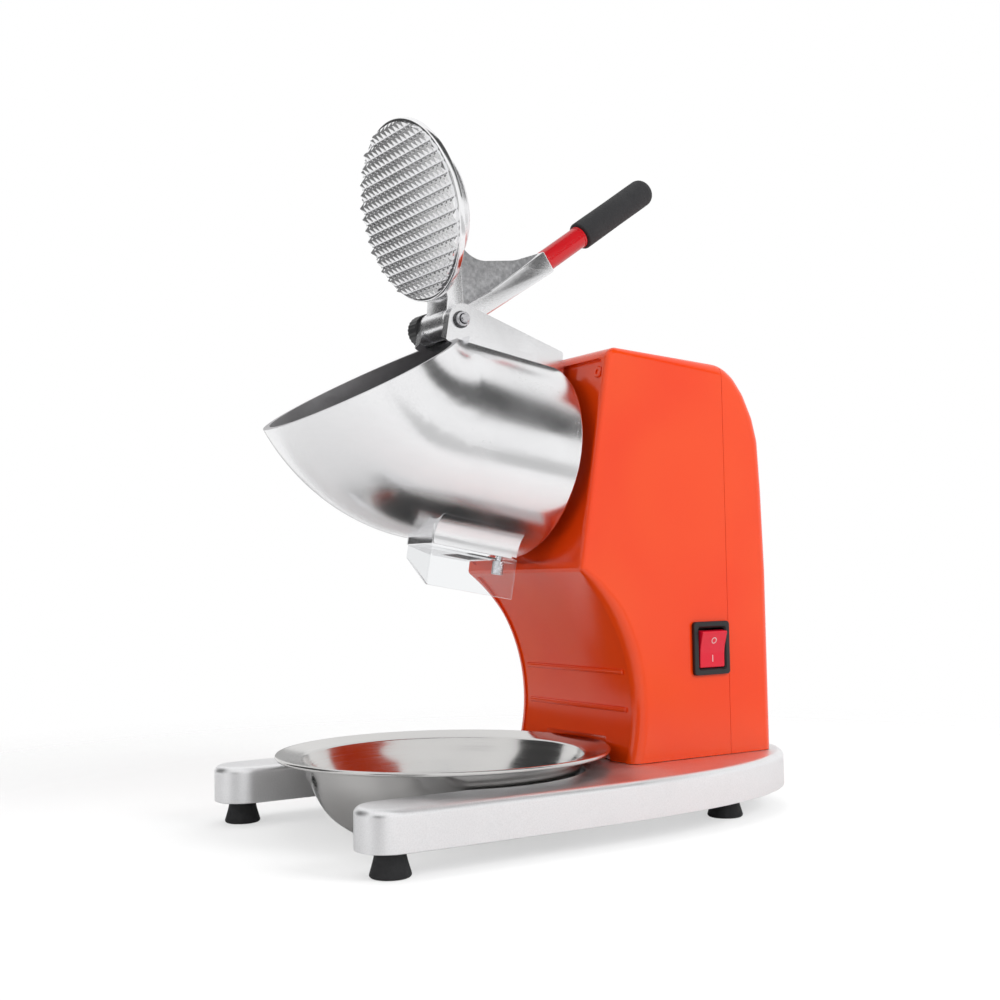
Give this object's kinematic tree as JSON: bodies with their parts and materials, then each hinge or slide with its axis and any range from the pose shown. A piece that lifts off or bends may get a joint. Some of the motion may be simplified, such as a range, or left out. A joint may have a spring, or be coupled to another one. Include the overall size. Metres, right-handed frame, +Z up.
{
  "type": "electric ice crusher",
  "caption": "Electric ice crusher: press lever with toothed disc over a tilted barrel, motor housing, bladed disc, clear guard, catch bowl and U-shaped base.",
  "frame": {"origin": "middle of the footprint on the table under the feet and the bowl", "axes": "+Z up; the user stands at -Y with the barrel's mouth and the bowl towards them; +X is the switch side"},
  "size_m": [0.2296, 0.3434, 0.4247],
  "materials": {
    "cast_aluminium": "die cast, satin to polished",
    "stainless": "spun and polished stainless",
    "steel": "plated steel",
    "blade_steel": "ground blade steel",
    "core_iron": "lamination stack",
    "copper_winding": "enamelled copper",
    "painted_steel": "satin black",
    "orange_plastic": "glossy moulded",
    "red_plastic": "glossy moulded",
    "black_plastic": "fine matt",
    "black_rubber": "matt rubber",
    "clear_plastic": "clear sheet"
  },
  "bodies": {
    "stand": {"barrel": "cast_aluminium", "barrel_bearing": "steel", "barrel_screw_1": "steel", "barrel_screw_2": "steel", "barrel_screw_3": "steel", "barrel_screw_4": "steel", "base_plate": "cast_aluminium", "cable_gland": "black_plastic", "foot_front_left": "black_rubber", "foot_front_right": "black_rubber", "foot_rear_left": "black_rubber", "foot_rear_right": "black_rubber", "foot_screw_front_left": "steel", "foot_screw_front_right": "steel", "foot_screw_rear_left": "steel", "foot_screw_rear_right": "steel", "gland_nut": "black_plastic", "guard": "clear_plastic", "housing_front": "orange_plastic", "housing_rear": "orange_plastic", "housing_screw_1": "steel", "housing_screw_2": "steel", "housing_screw_3": "steel", "housing_screw_4": "steel", "lever_stop": "black_plastic", "motor_bearing_front": "steel", "motor_bearing_rear": "steel", "motor_can": "painted_steel", "motor_end_cap": "painted_steel", "motor_plate": "steel", "pivot_bolt": "steel", "pivot_cap": "black_plastic", "pivot_nut": "steel", "stator_core": "core_iron", "stator_winding": "copper_winding", "switch_bezel": "black_plastic", "thumb_screw": "steel"},
    "lever": {"lever_arm": "cast_aluminium", "lever_sleeve": "red_plastic", "lever_grip": "black_rubber", "press_disc": "cast_aluminium", "press_screw": "steel"},
    "rotor": {"shaft": "steel", "armature": "core_iron", "blade_disc": "steel", "blade_1": "blade_steel", "blade_2": "blade_steel", "disc_nut": "steel", "motor_fan": "black_plastic", "blade_screw_1_1": "steel", "blade_screw_1_2": "steel", "blade_screw_2_1": "steel", "blade_screw_2_2": "steel"},
    "rocker": {"switch_rocker": "red_plastic"},
    "catch_bowl": {"bowl": "stainless"}
  },
  "joints": [
    {"name": "lever_swing", "type": "hinge", "parent": "stand", "child": "lever", "pos_m": [0, -0.05818, 0.3035], "axis": [1, 0, 0], "range_deg": [0, 155]},
    {"name": "rotor_spin", "type": "hinge", "parent": "stand", "child": "rotor", "pos_m": [0, -0.07051, 0.23358], "axis": [0, 0.9848, -0.1736], "continuous": true},
    {"name": "rocker_press", "type": "hinge", "parent": "stand", "child": "rocker", "pos_m": [0.0627, 0.09182, 0.1025], "axis": [0, -1, 0], "range_deg": [0, 18]},
    {"name": "bowl_lift", "type": "slide", "parent": "stand", "child": "catch_bowl", "axis": [0, -0.7071, 0.7071], "range_m": [0, 0.08]}
  ]
}
